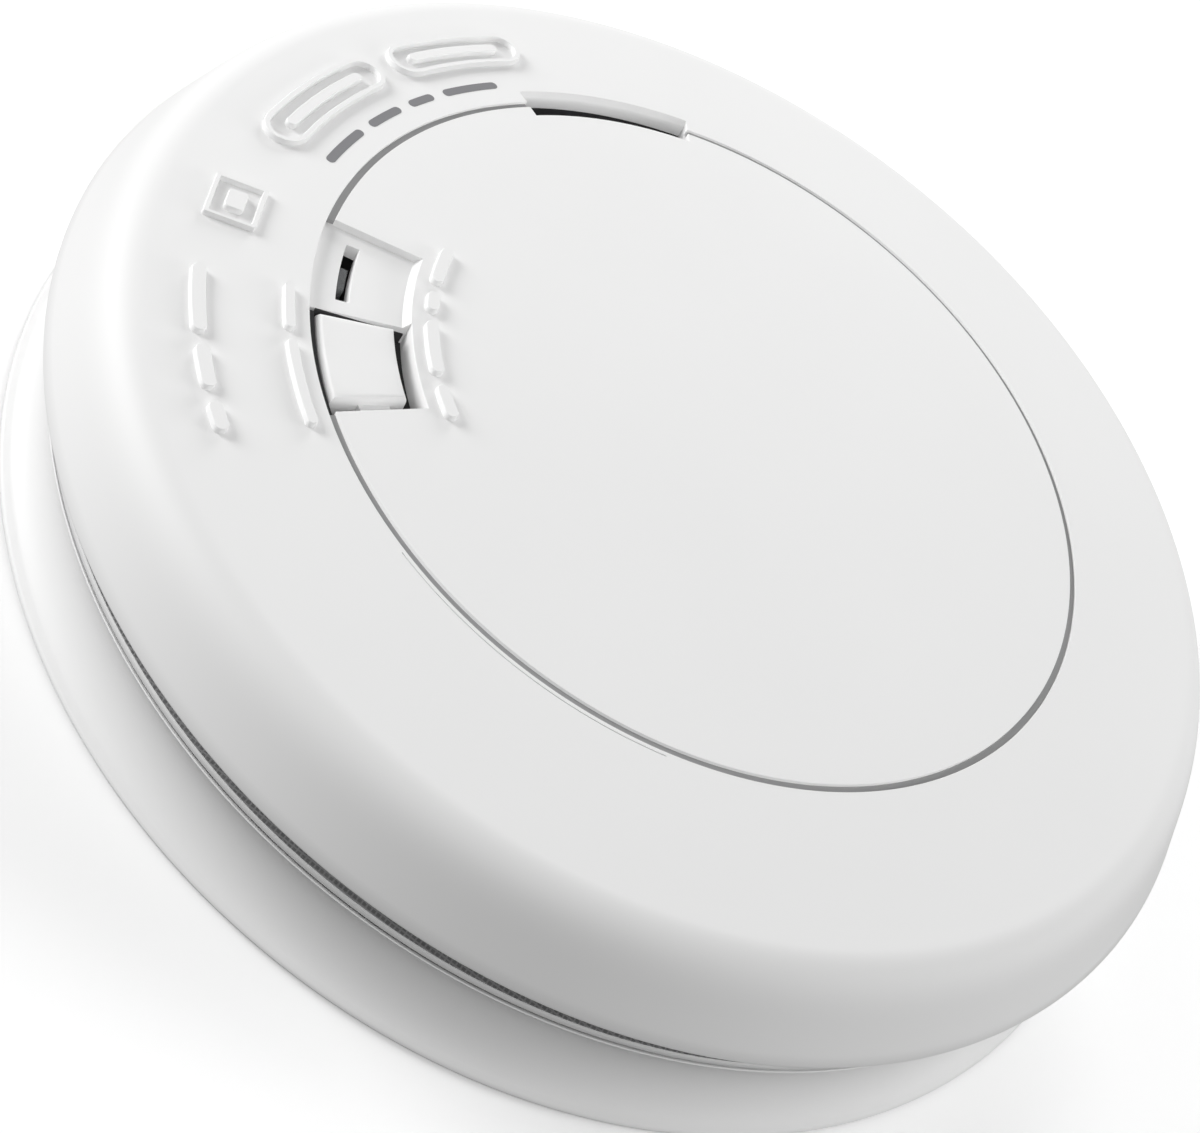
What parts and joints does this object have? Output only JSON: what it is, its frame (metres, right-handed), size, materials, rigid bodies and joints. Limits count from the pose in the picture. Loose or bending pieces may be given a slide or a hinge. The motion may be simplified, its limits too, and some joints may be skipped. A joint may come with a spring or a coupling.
{
  "type": "carbon monoxide detector",
  "caption": "Slim round smoke and carbon monoxide alarm with a hinged test button, a battery door and a twist-lock mounting bracket.",
  "frame": {"origin": "centre of the mounting bracket's back face, on the round axis", "axes": "+Z along the round axis, out of the front cover; the test button's pocket lies towards -X and -Y"},
  "size_m": [0.142, 0.142, 0.031],
  "materials": {
    "shell_white": "satin moulded white",
    "button_white": "satin moulded white",
    "black_plastic": "matte black moulding",
    "board": "green solder mask over glass laminate",
    "clear_plastic": "clear polished",
    "foam": "dark closed-cell foam",
    "steel": "bright zinc and nickel plate",
    "brass": "thin rolled sheet",
    "cell_wrap": "plain printed shrink wrap",
    "red_lamp": "tinted clear",
    "green_lamp": "tinted clear"
  },
  "bodies": {
    "bracket": {"mounting_bracket": "shell_white"},
    "alarm": {"battery_cell_1": "cell_wrap", "battery_cell_2": "cell_wrap", "board_screw_1": "steel", "board_screw_2": "steel", "board_screw_3": "steel", "capacitor_1": "cell_wrap", "capacitor_2": "cell_wrap", "chamber_base": "black_plastic", "chamber_cap": "black_plastic", "chamber_screen": "steel", "circuit_board": "board", "co_sensor_cap": "shell_white", "co_sensor_cell": "steel", "contact_bridge": "steel", "contact_plate_negative": "steel", "contact_plate_positive": "steel", "contact_spring_1": "steel", "contact_spring_2": "steel", "front_cover": "shell_white", "horn_driver_chip": "black_plastic", "horn_gasket": "foam", "horn_housing": "black_plastic", "horn_inductor": "black_plastic", "housing_screw_1": "steel", "housing_screw_2": "steel", "housing_screw_3": "steel", "housing_screw_4": "steel", "infrared_emitter": "clear_plastic", "light_pipe": "clear_plastic", "light_sensor": "black_plastic", "microcontroller": "black_plastic", "piezo_disc": "brass", "rear_housing": "shell_white", "status_light_green": "green_lamp", "status_light_red": "red_lamp", "switch_body": "black_plastic"},
    "test_button": {"test_button": "button_white"},
    "switch_plunger": {"switch_plunger": "steel"},
    "battery_door": {"battery_door": "shell_white"}
  },
  "joints": [
    {"name": "alarm_twist", "type": "hinge", "parent": "bracket", "child": "alarm", "pos_m": [0, 0, 0.012], "axis": [0, 0, 1], "range_deg": [0, 15]},
    {"name": "button_press", "type": "hinge", "parent": "alarm", "child": "test_button", "pos_m": [-0.02574, -0.03294, 0.0258], "axis": [-0.6157, -0.788, 0], "range_deg": [0, 3.5], "stiffness_Nm_per_rad": 0.4},
    {"name": "switch_travel", "type": "hinge", "parent": "alarm", "child": "switch_plunger", "pos_m": [-0.02491, -0.03188, 0.0185], "axis": [-0.6157, -0.788, 0], "range_deg": [0, 3.6]},
    {"name": "door_swing", "type": "hinge", "parent": "alarm", "child": "battery_door", "pos_m": [0.023, 0.0272, 0.0049], "axis": [1, 0, 0], "range_deg": [0, 95]}
  ],
  "couplings": [
    {"joint": "switch_travel", "follows": "button_press", "ratio": 1}
  ]
}
